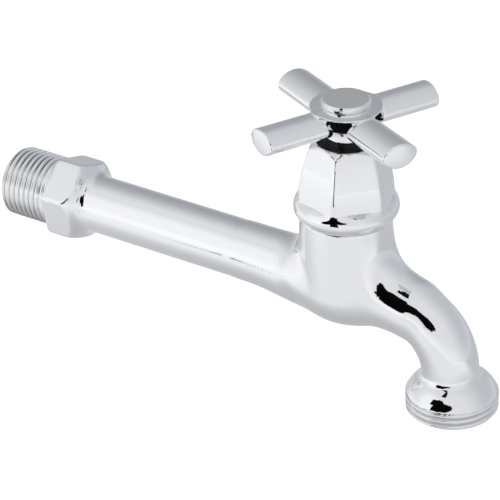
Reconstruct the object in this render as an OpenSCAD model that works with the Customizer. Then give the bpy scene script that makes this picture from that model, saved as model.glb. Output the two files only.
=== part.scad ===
// Long-bodied wall tap: screw-down valve, cross handle, spout with a hose thread.
// Origin on the inlet axis at the wall side of the wrench boss, +X towards the spout, +Z up.

/* [Inlet] */
// Major diameter of the inlet pipe thread, half inch
inlet_thread_d = 20.955; // [20.2:0.005:21.4]
// Length of the inlet thread
inlet_thread_len = 17.2; // [15:0.1:20]
// Plain run-out between the inlet thread and the boss
inlet_runout = 2.6; // [1.6:0.1:3.4]
// Pitch of the inlet and outlet threads
thread_pitch = 1.814; // [1.4:0.002:2.1]
// Width across the flats of the wrench boss
boss_af = 22.6; // [21.8:0.1:23.2]
// Diameter over the rounded corners of the wrench boss
boss_d = 25.9; // [25:0.1:26.4]
// Length of the wrench boss
boss_len = 10; // [8.6:0.1:14]
// Bevel at the wall side of the boss, along its length
boss_bevel = 0.8; // [0.6:0.1:2.4]
// Radius of the round at the tube end of the boss
boss_round = 2.8; // [1.5:0.1:3.2]
// Turn of the boss: angle of its front corner above level
boss_turn = 18; // [0:1:60]

/* [Tube and chamber] */
// Outer diameter of the tube
tube_d = 17.15; // [16.2:0.05:18]
// Bore of the tube
tube_bore_d = 12; // [10.6:0.1:12.6]
// Distance from the boss to the valve axis
valve_x = 99.8; // [80:0.1:160]
// Distance before the valve axis at which the tube starts to widen
flare_len = 34; // [31:0.5:38]
// Radius of the belly under the valve
belly_r = 10.5; // [10.2:0.1:10.9]
// Drop of the belly's centre below the tube axis
belly_drop = 1.2; // [1:0.1:1.5]
// Outer diameter of the chamber neck
neck_d = 25.8; // [25.4:0.1:26.8]
// Wall of the chamber neck round the bonnet's spigot
neck_wall = 2.43; // [2.2:0.01:2.7]
// Height of the neck rim above the tube axis
neck_h = 21.9; // [21.2:0.1:23.4]
// Radius of the round under the neck
bowl_round = 10; // [9:0.1:10.6]
// Height of the chamber floor above the tube axis
floor_h = 3; // [2.8:0.1:3.4]
// Depth of the passage under the seat, below the tube axis
under_h = 5.8; // [5.5:0.1:6.1]
// Diameter of the passage under the seat
under_d = 7.2; // [6.4:0.1:7.4]

/* [Spout] */
// Reach of the outlet axis from the valve axis
spout_reach = 35.1; // [34:0.1:37]
// Radius of the spout's bend
bend_r = 16.7; // [16.2:0.1:17.4]
// Drop of the spout's centre where its bend begins
bend_drop = 1.3; // [1:0.1:1.6]
// Flattening of the bend at its middle
bend_flat = 0.5; // [0.2:0.1:0.8]
// Outer diameter of the spout above the flange
spout_d = 16.5; // [16.2:0.1:17.2]
// Extra radius of the spout where its bend begins
spout_swell = 0.2; // [0.1:0.1:0.5]
// Radius of the hollow between the neck and the spout
throat_r = 28; // [26:0.5:30]
// Diameter of the passage from the chamber to the elbow
passage_d = 8.4; // [7:0.1:8.8]
// Depth of the top of the flange below the tube axis
flange_top = 18.9; // [18.4:0.1:20]
// Height of the flange cone above the hose thread
flange_h = 5.5; // [5:0.1:6.5]
// Major diameter of the outlet hose thread, three quarter inch
outlet_thread_d = 26.441; // [25.8:0.001:27]
// Length of the outlet thread
outlet_thread_len = 5.7; // [5.5:0.1:9]
// Bore of the outlet
outlet_bore_d = 11; // [9.6:0.1:11.6]
// Bore of the outlet mouth
mouth_d = 18; // [15:0.1:19.5]

/* [Valve] */
// Orifice of the seat bush
seat_bore_d = 9.6; // [8.8:0.1:10.4]
// Outer diameter of the seat bush where it is pressed in
seat_press_d = 12.4; // [11.8:0.1:13]
// Outer diameter of the seat rim
seat_rim_d = 15; // [14.4:0.1:15.6]
// Height of the seat rim above the chamber floor
seat_rim_h = 1.6; // [1:0.1:2]
// Depth of the seat bush in the floor
seat_depth = 2.6; // [2.2:0.1:2.8]
// Diameter of the rubber washer
washer_d = 14.4; // [13.4:0.1:15.4]
// Thickness of the rubber washer
washer_t = 3.2; // [2.6:0.1:3.6]
// Diameter of the jumper disc
jumper_d = 15; // [13.6:0.1:16.4]
// Thickness of the jumper disc
jumper_t = 2; // [1.6:0.1:2.4]
// Diameter of the jumper guide stem
guide_d = 4.8; // [4:0.1:5.4]
// Length of the jumper guide stem
guide_len = 8; // [5:0.1:10]
// Diameter of the stud under the jumper
stud_d = 4; // [3.4:0.1:4.4]
// Diameter of the washer plate
plate_d = 7.6; // [7:0.1:8.2]
// Thickness of the washer plate
plate_t = 0.8; // [0.6:0.1:1.2]
// Width across the flats of the washer nut
nut_af = 6; // [5.6:0.1:6.4]
// Height of the washer nut
nut_h = 2.2; // [1.8:0.1:2.8]

/* [Spindle] */
// Outer diameter of the spindle screw
screw_d = 12; // [11.4:0.1:12.4]
// Advance of the spindle in one turn of the handle
screw_lead = 3; // [2:0.1:4]
// Turn of the handle from shut to open, in degrees
open_turn = 600; // [360:10:640]
// Diameter of the spindle foot
foot_d = 13.4; // [12.8:0.1:15]
// Thickness of the spindle foot
foot_t = 2.5; // [2:0.1:3.2]
// Length of the spindle screw above the foot
screw_len = 12.5; // [11.6:0.1:13.4]
// Diameter of the seal barrel
barrel_d = 10.3; // [9.8:0.1:10.6]
// Wire diameter of the spindle O-rings
seal_wire_d = 1.8; // [1.4:0.1:2]
// Distance between the two O-rings
seal_pitch = 4.6; // [3.6:0.1:5]
// Width across the square top of the spindle
square_w = 6; // [5.4:0.1:6.2]
// Height of the square top
square_h = 4.6; // [4:0.1:5]

/* [Bonnet] */
// Thickness of the bonnet gasket
gasket_t = 0.6; // [0.4:0.1:1]
// Diameter over the bead at the bonnet foot
bead_d = 30; // [29.2:0.1:31]
// Radius of the bead's section
bead_round = 3.2; // [2.9:0.1:3.5]
// Height of the bead
bead_h = 5.4; // [5:0.1:5.8]
// Width across the flats of the bell, carried down to the bonnet's foot
bell_af = 25.3; // [24.6:0.1:26]
// Radius of the bell's flats, seen from the side
bell_round = 80; // [66:1:94]
// Diameter over the rounded corners of the bell
bell_d = 28; // [27.4:0.1:28.6]
// Height of the bonnet from foot to top
bonnet_h = 23; // [22:0.1:24.5]
// Diameter of the flat top of the bonnet
bonnet_top_d = 17.8; // [16.8:0.1:18.4]
// Slope of that chamfer, radius lost for each unit of height
chamfer_slope = 1.3; // [1:0.05:1.6]
// Rim of the flat top left round the packing ring
packing_rim = 0.5; // [0.4:0.1:1]
// Thickness of the packing ring round the spindle
packing_t = 2; // [1.6:0.1:2.4]
// Depth of the packing ring's face below the bonnet's top
packing_sink = 0.3; // [0.2:0.1:0.5]
// Turn of the bonnet: angle of one corner from +X
bonnet_turn = 47; // [0:1:60]

/* [Handle] */
// Gap between the bonnet and the handle when shut
handle_gap = 1.5; // [1:0.1:3]
// Diameter of the hub at its foot
hub_foot_d = 11.8; // [11.6:0.1:13]
// Largest diameter of the hub
hub_d = 20.6; // [19.6:0.1:22]
// Height of the hub's plain foot
hub_foot_h = 2.2; // [1.8:0.1:2.6]
// Height of the hub's cone, its foot included
hub_cone_h = 9; // [8.6:0.1:9.2]
// Height of the hub
hub_h = 9.6; // [9.2:0.1:10.4]
// Radius of the round at the hub's shoulder
hub_round = 0.5; // [0.3:0.1:0.6]
// Reach of the arms from the valve axis
arm_reach = 27.9; // [24:0.1:34]
// Width of an arm
arm_w = 11; // [10.4:0.1:11.6]
// Thickness of an arm
arm_t = 7.3; // [6.9:0.1:7.5]
// Radius of the narrow sides of an arm
arm_side_r = 2.4; // [2:0.1:2.8]
// Height of the arm axis above the foot of the hub
arm_h = 5.3; // [5:0.1:5.5]
// Turn of the handle in the model: angle of one arm from +X
handle_turn = 64.7; // [0:0.1:90]
// Diameter of the index cap
cap_d = 14.1; // [13.6:0.1:15]
// Thickness of the index cap
cap_t = 1.7; // [1.3:0.1:2.4]
// Bevel at the rim of the index cap
cap_bevel = 0.6; // [0.3:0.1:0.8]
// Wire diameter of the index cap's O-ring
cap_wire_d = 0.8; // [0.6:0.1:0.9]
// Outer diameter of the square bush
bush_d = 10.2; // [9.6:0.1:10.6]
// Diameter of the pocket for the screw head
pocket_d = 10; // [9.6:0.1:10.4]
// Diameter of the handle screw
m_screw_d = 4; // [3:0.1:4.4]
// Length of the handle screw under its head
m_screw_len = 10; // [8:0.1:12]
// Diameter of the screw head
head_d = 7; // [6.4:0.1:7.2]
// Height of the screw head
head_t = 2.2; // [1.8:0.1:2.4]
// Thickness of the lock washer
lock_t = 0.8; // [0.6:0.1:1]

/* [Fits] */
// Radial clearance of turning and sliding fits
fit_gap = 0.05; // [0.02:0.01:0.08]
// Clearance between parts that move apart
play = 0.3; // [0.25:0.05:0.35]
// Radial clearance of parts fixed in each other
seat_gap = 0.02; // [0.01:0.01:0.04]
// Depth by which joined shapes of one casting run into each other
blend = 1; // [0.5:0.1:1.5]

/* [Hidden] */
$fn = 96;
eps = 0.01;

// Thread form: depth and flats as shares of the pitch of a 55 degree pipe thread
thread_depth = 0.64 * thread_pitch;
thread_flat = thread_pitch / 6;
thread_flank = thread_pitch / 2 - thread_flat;
inlet_r = inlet_thread_d / 2;
outlet_r = outlet_thread_d / 2;
tube_r = tube_d / 2;
neck_r = neck_d / 2;
spout_r = spout_d / 2;
chamber_r = neck_r - neck_wall;
spigot_r = chamber_r - seat_gap;
rim_depth = flange_top + flange_h;
outlet_depth = rim_depth + outlet_thread_len;

// Levels of the valve stack, measured up the valve axis from the tube axis
lift = screw_lead * open_turn / 360;
seat_top = floor_h + seat_rim_h;
washer_bottom = seat_top + play;
disc_bottom = washer_bottom + washer_t;
disc_top = disc_bottom + jumper_t;
plate_bottom = washer_bottom - plate_t;
nut_bottom = plate_bottom - nut_h;
foot_bottom = disc_top + fit_gap;
foot_top = foot_bottom + foot_t;
spigot_bottom = foot_top + lift + play;
screw_top = foot_top + screw_len;
bonnet_foot = neck_h + gasket_t;
bonnet_top = bonnet_foot + bonnet_h;
nut_bore_top = screw_top + lift + play;
packing_r = bonnet_top_d / 2 - packing_rim;
packing_foot = bonnet_top - packing_sink - packing_t;

// Levels of the handle
hub_foot = bonnet_top + handle_gap;
hub_top = hub_foot + hub_h;
arm_z = hub_foot + arm_h;
square_top = hub_foot + square_h;
bush_top = square_top + play;
lock_top = bush_top + lock_t;
screw_end = lock_top - m_screw_len;
screw_hole_end = screw_end - m_screw_d / 2;

// O-rings on the spindle stay in the plain bore of the bonnet when the valve is shut
bonnet_bore_r = barrel_d / 2 + fit_gap;
seal_r = bonnet_bore_r - fit_gap / 2 - seal_wire_d / 2;
seal_groove_r = seal_r - seal_wire_d / 2 - seat_gap;
seal_groove_w = seal_wire_d + 4 * seat_gap;
lower_seal_z = nut_bore_top + seal_wire_d;
upper_seal_z = lower_seal_z + seal_pitch;

// O-ring of the index cap, in a groove round the cap's collar
collar_r = pocket_d / 2 - seat_gap;
collar_in_r = head_d / 2 + play;
cap_ring_r = collar_r - cap_wire_d / 2;
cap_groove_r = cap_ring_r - cap_wire_d / 2 - seat_gap;
cap_groove_w = cap_wire_d + 4 * seat_gap;
cap_ring_z = (lock_top + hub_top) / 2;

// Height of a drill's point as a share of its diameter
drill_point = 0.3;

// Flare, belly and spout: distance from the valve axis, height and radius at each station
flare_steps = 12;
saddle_steps = 6;
bend_steps = 14;
throat_steps = 10;
ring_sides = 40;
side_r = tube_r / cos(180 / ring_sides) + seat_gap;
bend_x = spout_reach - bend_r;
bend_z = -bend_drop - bend_r;
throat_z = throat_r - 2 * bend_drop;
throat_start = 17;
throat_end = 76;
function ease(t) = t * t * (3 - 2 * t);
function mix(a, b, t) = a + (b - a) * t;
flare = [for (i = [0 : flare_steps]) let (t = i / flare_steps, s = ease(t))
    [-flare_len * (1 - t), -belly_drop * s, mix(side_r, belly_r, s)]];
saddle = [for (i = [1 : saddle_steps]) let (t = i / saddle_steps, s = ease(t))
    [bend_x * t, mix(-belly_drop, -bend_drop, s), mix(belly_r, spout_r + spout_swell, s)]];
bend = [for (i = [1 : bend_steps])
    let (t = i / bend_steps, a = 90 * (1 - t), r = bend_r - bend_flat * sin(2 * a) * sin(2 * a))
    [bend_x + r * cos(a), bend_z + r * sin(a), spout_r + spout_swell * (1 - ease(t))]];
spout_end = [[spout_reach, -flange_top - blend, spout_r]];
throat = [for (i = [0 : throat_steps])
    let (t = i / throat_steps, a = mix(throat_start, throat_end, t), r = mix(neck_r - 3 * blend, spout_r, t))
    [throat_r * (1 - cos(a)), throat_z - throat_r * sin(a), r + spout_swell * t]];

function ring(list, i) =
    let (p = list[i], a = list[max(i - 1, 0)], b = list[min(i + 1, len(list) - 1)],
        d = [b[0] - a[0], b[1] - a[1]], n = [-d[1], d[0]] / norm(d))
    [for (k = [0 : ring_sides - 1]) let (t = 360 * k / ring_sides)
        [p[0] + n[0] * p[2] * cos(t), -p[2] * sin(t), p[1] + n[1] * p[2] * cos(t)]];

// A solid through round sections at the stations
module swept(list) {
    last = len(list) - 1;
    points = [for (i = [0 : last]) each ring(list, i)];
    walls = [for (i = [0 : last - 1], k = [0 : ring_sides - 1])
        let (a = i * ring_sides + k, b = i * ring_sides + (k + 1) % ring_sides)
        each [[a, a + ring_sides, b], [b, a + ring_sides, b + ring_sides]]];
    start = [for (k = [0 : ring_sides - 1]) k];
    end = [for (k = [ring_sides - 1 : -1 : 0]) last * ring_sides + k];
    polyhedron(points = points, faces = concat([start], walls, [end]));
}

module along_x() { rotate([0, 90, 0]) children(); }
module at_valve() { translate([valve_x, 0, 0]) children(); }
module at_outlet() { translate([valve_x + spout_reach, 0, 0]) children(); }
module torus(r, wire_d) { rotate_extrude() translate([r, 0]) circle(d = wire_d, $fn = 32); }

module ring_solid(r_out, r_in, h) {
    difference() {
        cylinder(h = h, r = r_out);
        translate([0, 0, -eps]) cylinder(h = h + 2 * eps, r = r_in);
    }
}

// What a round of radius r takes off a square corner at the origin
module corner(r) {
    translate([-r, -r]) difference() {
        square(r + eps);
        circle(r = r);
    }
}

// A drilled hole up +Z with the cone of the drill's point
module drilled(h, d) {
    rotate_extrude() polygon([[0, 0], [d / 2, 0], [d / 2, h], [0, h + d * drill_point]]);
}

// A round rod between two points in the plane of symmetry
module rod(a, b, d) {
    tilt = atan2(b[0] - a[0], b[1] - a[1]);
    translate([a[0], 0, a[1]]) rotate([0, tilt, 0]) cylinder(h = norm(b - a), d = d);
}

// Inlet thread turned round +Z from its free end, with a plain land before the boss
module inlet_thread() {
    count = floor((inlet_thread_len - inlet_runout) / thread_pitch);
    root = inlet_r - thread_depth;
    last = count * thread_pitch + thread_flat;
    end = inlet_thread_len + blend;
    ridges = [for (i = [0 : count - 1]) let (z = i * thread_pitch)
        each [[root, z], [root, z + thread_flat], [inlet_r, z + thread_flat + thread_flank],
            [inlet_r, z + 2 * thread_flat + thread_flank]]];
    rotate_extrude()
        polygon(concat([[0, 0]], ridges, [[root, last - thread_flat], [root, last],
            [inlet_r, last + thread_flank], [inlet_r, end], [0, end]]));
}

// Flange cone and outlet thread turned round +Z, the first ridge flush with the rim
module outlet_end() {
    count = floor(outlet_thread_len / thread_pitch);
    root = outlet_r - thread_depth;
    ridges = [for (i = [0 : count - 1]) let (z = i * thread_pitch)
        each [[outlet_r, z], [outlet_r, z + thread_flat], [root, z + thread_flat + thread_flank],
            [root, z + 2 * thread_flat + thread_flank]]];
    rotate_extrude()
        polygon(concat([[0, -flange_h], [spout_r - blend / 2, -flange_h]], ridges,
            [[outlet_r - thread_depth / 2, outlet_thread_len], [0, outlet_thread_len]]));
}

// Six-sided boss with rounded corners, bevelled at the wall side and rounded at the tube
module wrench_boss() {
    r = boss_d / 2;
    along_x() intersection() {
        rotate_extrude() difference() {
            square([r, boss_len]);
            translate([r, boss_len]) corner(boss_round);
            polygon([[r - boss_bevel / 2, -eps], [r + eps, -eps], [r + eps, boss_bevel]]);
        }
        rotate([0, 0, 30 - boss_turn]) cylinder(h = boss_len, r = boss_af / 2 / cos(30), $fn = 6);
    }
}

// Neck of the chamber with a rounded bowl under it
module neck() {
    translate([0, 0, -bowl_round]) rotate_extrude() difference() {
        square([neck_r, neck_h + bowl_round]);
        translate([neck_r, 0]) mirror([0, 1]) corner(bowl_round);
    }
}

// Waterway: tube bore, passage under the seat, chamber, passage to the elbow, elbow and outlet
module waterway() {
    bore_end = tube_bore_d - flare_len;
    elbow = [spout_reach, (outlet_bore_d - flange_top) / 2 - spout_r];
    door = [seat_rim_d / 3, floor_h + passage_d / 2 + blend];
    translate([-inlet_thread_len - eps, 0, 0]) along_x()
        drilled(inlet_thread_len + valve_x + bore_end, tube_bore_d);
    at_valve() {
        rod([bore_end - tube_bore_d / 2, 0], [0, -under_h], under_d);
        translate([0, 0, -under_h]) sphere(d = under_d + blend / 2);
        translate([0, 0, -under_h]) cylinder(h = under_h + floor_h - seat_depth + eps, d = under_d);
        translate([0, 0, floor_h - seat_depth])
            cylinder(h = seat_depth + eps, r = seat_press_d / 2 + seat_gap);
        translate([0, 0, floor_h]) cylinder(h = neck_h, r = chamber_r);
        rod(door, elbow, passage_d);
    }
    at_outlet() translate([0, 0, -outlet_depth - eps]) {
        drilled(outlet_depth + elbow[1], outlet_bore_d);
        cylinder(h = outlet_thread_len, d1 = mouth_d, d2 = outlet_bore_d);
    }
}

module body_casting() {
    color("silver") difference() {
        union() {
            translate([-inlet_thread_len, 0, 0]) along_x() inlet_thread();
            wrench_boss();
            translate([boss_len / 2, 0, 0]) along_x()
                cylinder(h = valve_x - flare_len + 3 * blend - boss_len / 2, r = tube_r);
            at_valve() {
                swept(concat(flare, saddle, bend, spout_end));
                swept(throat);
                neck();
            }
            at_outlet() translate([0, 0, -rim_depth]) mirror([0, 0, 1]) outlet_end();
        }
        waterway();
    }
}

module valve_seat() {
    rim_top_d = (seat_rim_d + seat_press_d) / 2;
    color("goldenrod") at_valve() translate([0, 0, floor_h]) difference() {
        union() {
            translate([0, 0, -seat_depth]) cylinder(h = seat_depth + seat_rim_h, d = seat_press_d);
            cylinder(h = seat_rim_h, d1 = seat_rim_d, d2 = rim_top_d);
        }
        translate([0, 0, -seat_depth - eps]) cylinder(h = seat_depth + seat_rim_h + 2 * eps, d = seat_bore_d);
    }
}

module bonnet_gasket() {
    color("dimgray") at_valve() translate([0, 0, neck_h]) ring_solid(neck_r, chamber_r, gasket_t);
}

// Six curved flats, each part of a large cylinder lying across the bell
module bell_flats() {
    for (k = [0 : 5]) rotate([0, 0, bonnet_turn + 30 + 60 * k])
        translate([bell_af / 2 - bell_round, bead_d, -blend]) rotate([90, 0, 0])
            ring_solid(bell_round + bead_d, bell_round, 2 * bead_d);
}

// Bead and bell of the bonnet, the bell closed by a cone round its flat top
module bonnet_shell() {
    core_r = bead_d / 2 - bead_round;
    bell_r = bell_d / 2;
    top_r = bonnet_top_d / 2;
    bell_top = bonnet_h - (bell_r - top_r) / chamfer_slope;
    rotate_extrude() {
        square([core_r, bead_h]);
        intersection() {
            translate([core_r, bead_h / 2]) circle(r = bead_round);
            square([bead_d, bead_h]);
        }
    }
    difference() {
        rotate_extrude()
            polygon([[0, bead_h / 2], [bell_r, bead_h / 2], [bell_r, bell_top],
                [top_r, bonnet_h], [0, bonnet_h]]);
        bell_flats();
    }
}

module bonnet() {
    color("silver") at_valve() difference() {
        union() {
            translate([0, 0, bonnet_foot]) bonnet_shell();
            translate([0, 0, spigot_bottom]) cylinder(h = bonnet_foot - spigot_bottom + blend, r = spigot_r);
        }
        translate([0, 0, spigot_bottom - eps]) cylinder(h = bonnet_top, r = bonnet_bore_r);
        translate([0, 0, spigot_bottom - eps])
            cylinder(h = nut_bore_top - spigot_bottom + eps, r = screw_d / 2 + fit_gap);
        translate([0, 0, packing_foot]) cylinder(h = bonnet_h, r = packing_r + seat_gap);
    }
}

module packing_ring() {
    color("black") at_valve() translate([0, 0, packing_foot]) ring_solid(packing_r, bonnet_bore_r, packing_t);
}

module seal_groove(z) {
    translate([0, 0, z - seal_groove_w / 2]) ring_solid(barrel_d, seal_groove_r, seal_groove_w);
}

module spindle() {
    color("goldenrod") at_valve() difference() {
        union() {
            translate([0, 0, foot_bottom]) cylinder(h = foot_t, d = foot_d);
            translate([0, 0, foot_bottom]) cylinder(h = foot_t + screw_len, d = screw_d);
            translate([0, 0, screw_top - eps]) cylinder(h = hub_foot - screw_top + eps, d = barrel_d);
            translate([0, 0, hub_foot - eps]) rotate([0, 0, handle_turn])
                linear_extrude(square_h + eps) square(square_w, center = true);
        }
        translate([0, 0, foot_bottom - eps]) cylinder(h = guide_len + play, r = guide_d / 2 + fit_gap);
        translate([0, 0, screw_hole_end]) cylinder(h = square_top, r = m_screw_d / 2 + seat_gap);
        seal_groove(lower_seal_z);
        seal_groove(upper_seal_z);
    }
}

module seal(z) { color("black") at_valve() translate([0, 0, z]) torus(seal_r, seal_wire_d); }
module lower_o_ring() { seal(lower_seal_z); }
module upper_o_ring() { seal(upper_seal_z); }

module jumper() {
    color("goldenrod") at_valve() {
        translate([0, 0, disc_bottom]) cylinder(h = jumper_t, d = jumper_d);
        translate([0, 0, disc_top - eps]) cylinder(h = guide_len + eps, d = guide_d);
        translate([0, 0, nut_bottom]) cylinder(h = disc_bottom - nut_bottom + eps, d = stud_d);
    }
}

module seat_washer() {
    color("black") at_valve() translate([0, 0, washer_bottom])
        ring_solid(washer_d / 2, stud_d / 2 + seat_gap, washer_t);
}

module washer_plate() {
    color("goldenrod") at_valve() translate([0, 0, plate_bottom])
        ring_solid(plate_d / 2, stud_d / 2 + seat_gap, plate_t);
}

module washer_nut() {
    color("goldenrod") at_valve() translate([0, 0, nut_bottom]) difference() {
        cylinder(h = nut_h, r = nut_af / 2 / cos(30), $fn = 6);
        translate([0, 0, -eps]) cylinder(h = nut_h + 2 * eps, r = stud_d / 2 + seat_gap);
    }
}

// Oval of four arcs: two narrow sides joined by two wide ones that meet them without an edge
module arm_section() {
    side_y = arm_w / 2 - arm_side_r;
    step = arm_t / 2 - arm_side_r;
    bow_x = (side_y * side_y - step * step) / (2 * step);
    bow_r = arm_t / 2 + bow_x;
    join_y = side_y * bow_r / (bow_r - arm_side_r);
    for (side = [-1, 1]) translate([0, side * side_y]) circle(r = arm_side_r);
    intersection() {
        translate([bow_x, 0]) circle(r = bow_r);
        translate([-bow_x, 0]) circle(r = bow_r);
        square([arm_t, 2 * join_y], center = true);
    }
}

// The arms end on a ball round the hub
module arms() {
    intersection() {
        for (k = [0 : 3]) rotate([0, 90, handle_turn + 90 * k])
            linear_extrude(arm_reach + blend) arm_section();
        sphere(r = arm_reach);
    }
}

module hub() {
    rotate_extrude() difference() {
        polygon([[0, 0], [hub_foot_d / 2, 0], [hub_foot_d / 2, hub_foot_h], [hub_d / 2, hub_cone_h],
            [hub_d / 2, hub_h], [0, hub_h]]);
        translate([hub_d / 2, hub_h]) corner(hub_round);
    }
}

module cross_handle() {
    color("silver") at_valve() difference() {
        union() {
            translate([0, 0, hub_foot]) hub();
            translate([0, 0, arm_z]) arms();
        }
        translate([0, 0, hub_foot - eps])
            cylinder(h = bush_top - hub_foot + 2 * eps, r = bush_d / 2 + seat_gap);
        translate([0, 0, bush_top]) cylinder(h = hub_h, d = pocket_d);
    }
}

module square_bush() {
    h = bush_top - hub_foot;
    color("goldenrod") at_valve() translate([0, 0, hub_foot]) difference() {
        cylinder(h = h, d = bush_d);
        translate([0, 0, -eps]) rotate([0, 0, handle_turn])
            linear_extrude(h + 2 * eps) square(square_w + 2 * seat_gap, center = true);
    }
}

module handle_screw() {
    slot_w = head_d / 6;
    color("gainsboro") at_valve() {
        translate([0, 0, screw_end]) cylinder(h = lock_top - screw_end + eps, d = m_screw_d);
        translate([0, 0, lock_top]) difference() {
            cylinder(h = head_t, d = head_d);
            translate([-head_d, -slot_w / 2, head_t / 2]) cube([2 * head_d, slot_w, head_t]);
        }
    }
}

module lock_washer() {
    color("gray") at_valve() translate([0, 0, bush_top])
        ring_solid(head_d / 2, m_screw_d / 2 + seat_gap, lock_t);
}

module index_cap() {
    collar_bottom = lock_top + play;
    color("lightgray") at_valve() {
        translate([0, 0, hub_top]) cylinder(h = cap_t - cap_bevel, d = cap_d);
        translate([0, 0, hub_top + cap_t - cap_bevel])
            cylinder(h = cap_bevel, d1 = cap_d, d2 = cap_d - 2 * cap_bevel);
        difference() {
            translate([0, 0, collar_bottom]) ring_solid(collar_r, collar_in_r, hub_top - collar_bottom + eps);
            translate([0, 0, cap_ring_z - cap_groove_w / 2]) ring_solid(cap_d, cap_groove_r, cap_groove_w);
        }
    }
}

module cap_o_ring() {
    color("black") at_valve() translate([0, 0, cap_ring_z]) torus(cap_ring_r, cap_wire_d);
}

body_casting();
valve_seat();
bonnet_gasket();
bonnet();
packing_ring();
spindle();
lower_o_ring();
upper_o_ring();
jumper();
seat_washer();
washer_plate();
washer_nut();
cross_handle();
square_bush();
handle_screw();
lock_washer();
index_cap();
cap_o_ring();
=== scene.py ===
"""Chrome long-bodied wall faucet with a cross handle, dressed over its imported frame."""
import math
from types import SimpleNamespace

import bpy
import numpy as np
from bpy.props import FloatProperty, FloatVectorProperty, IntProperty, PointerProperty
from mathutils import Matrix, Vector


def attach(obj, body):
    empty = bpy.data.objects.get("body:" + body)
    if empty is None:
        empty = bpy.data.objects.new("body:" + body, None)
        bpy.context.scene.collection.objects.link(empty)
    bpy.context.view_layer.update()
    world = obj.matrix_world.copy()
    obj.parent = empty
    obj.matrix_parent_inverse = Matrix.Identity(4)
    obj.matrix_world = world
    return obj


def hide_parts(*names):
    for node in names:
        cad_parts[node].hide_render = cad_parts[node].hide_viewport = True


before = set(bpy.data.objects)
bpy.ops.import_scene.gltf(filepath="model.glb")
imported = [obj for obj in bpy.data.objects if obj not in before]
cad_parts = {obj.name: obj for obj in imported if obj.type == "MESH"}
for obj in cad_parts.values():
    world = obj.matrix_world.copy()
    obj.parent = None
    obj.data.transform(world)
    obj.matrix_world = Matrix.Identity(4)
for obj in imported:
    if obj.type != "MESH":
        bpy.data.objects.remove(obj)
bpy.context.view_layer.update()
MM = 0.001

bl_info = {
    "name": "Wall faucet",
    "version": (1, 0, 0),
    "blender": (4, 5, 0),
    "location": "3D View > Sidebar > Faucet",
    "description": "Builds the chrome casting, bonnet, cross handle and studio of a long-bodied wall faucet",
    "category": "Add Mesh",
}


def length(name, description, millimetres):
    return FloatProperty(name=name, description=description, default=millimetres * MM, unit="LENGTH", precision=5)


def angle(name, description, degrees):
    return FloatProperty(name=name, description=description, default=math.radians(degrees), unit="ROTATION")


def colour(name, description, rgb):
    return FloatVectorProperty(name=name, description=description, default=rgb, size=3, subtype="COLOR", min=0,
                               max=1)


def number(name, description, value, **limits):
    return FloatProperty(name=name, description=description, default=value, **limits)


class FaucetCasting(bpy.types.PropertyGroup):
    """Sizes of the cast body."""
    valve_x: length("Valve axis", "Distance of the valve axis from the wrench boss", 99.8)
    tube_r: length("Tube radius", "Outer radius of the long tube", 8.575)
    bore_r: length("Bore radius", "Radius of the tube's bore", 6.0)
    flare: length("Flare length", "Distance before the valve axis at which the tube widens", 34.0)
    belly_r: length("Belly radius", "Radius of the belly under the valve", 10.5)
    belly_drop: length("Belly drop", "Drop of the belly's centre below the tube axis", 1.2)
    neck_r: length("Neck radius", "Outer radius of the chamber's neck", 12.9)
    neck_top: length("Neck height", "Height of the neck's rim above the tube axis", 21.9)
    bowl_round: length("Bowl round", "Radius of the round under the neck", 10.0)
    chamber_r: length("Chamber radius", "Inner radius of the valve chamber", 10.47)
    chamber_floor: length("Chamber floor", "Height of the chamber's floor above the tube axis", 3.0)
    spout_reach: length("Spout reach", "Distance of the outlet axis from the valve axis", 35.1)
    spout_r: length("Spout radius", "Outer radius of the spout above its flange", 8.25)
    spout_swell: length("Spout swell", "Extra radius of the spout where its bend begins", 0.2)
    bend_r: length("Bend radius", "Radius of the spout's bend", 16.7)
    bend_drop: length("Bend drop", "Drop of the spout's centre where the bend begins", 1.3)
    bend_flat: length("Bend flattening", "Flattening of the bend at its middle", 0.5)
    waist: length("Spout waist", "Radius lost by the spout in the first half of its bend", 0.6)
    lean: length("Spout lean", "Shift of the spout's end towards the valve", 0.75)
    throat_r: length("Throat radius", "Radius of the hollow between neck and spout", 28.0)
    flange_r: length("Flange radius", "Radius of the flange's rim", 13.2205)
    flange_z: length("Flange depth", "Depth of the flange's rim below the tube axis", 24.4)
    flange_dome: length("Flange dome", "Radius of the rounded top of the flange, seen from the side", 11.0)
    outlet_bore_r: length("Outlet bore", "Radius of the outlet's bore", 5.5)
    boss_flat: length("Boss flat", "Distance of the wrench boss's flats from its axis", 11.3)
    boss_r: length("Boss radius", "Radius over the boss's rounded corners", 12.95)
    boss_len: length("Boss length", "Length of the wrench boss", 10.0)
    boss_round: length("Boss round", "Radius of the round at the boss's tube end", 3.4)
    boss_bevel: length("Boss bevel", "Length of the bevel at the boss's wall side", 0.8)
    boss_turn: angle("Boss turn", "Angle of the boss's front corner above level", 18.0)
    grain: length("Mesh step", "Step of the grid from which the casting's skin is made", 0.55)


class FaucetThreads(bpy.types.PropertyGroup):
    """Sizes of the pipe threads at both ends."""
    pitch: length("Pitch", "Pitch of both pipe threads", 1.814)
    depth: length("Depth", "Depth of the thread's grooves", 1.0)
    inlet_r: length("Inlet crest", "Crest radius of the inlet thread", 10.4775)
    inlet_len: length("Inlet length", "Length of the inlet thread", 17.2)
    inlet_runout: length("Inlet run-out", "Length over which the inlet thread fades", 4.6)
    outlet_r: length("Outlet crest", "Crest radius of the hose thread", 13.2205)
    outlet_len: length("Outlet length", "Length of the hose thread", 5.7)
    mouth_r: length("Mouth radius", "Radius of the outlet's mouth", 9.0)
    columns: IntProperty(name="Columns", description="Points round each thread", default=160, min=24)


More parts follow.
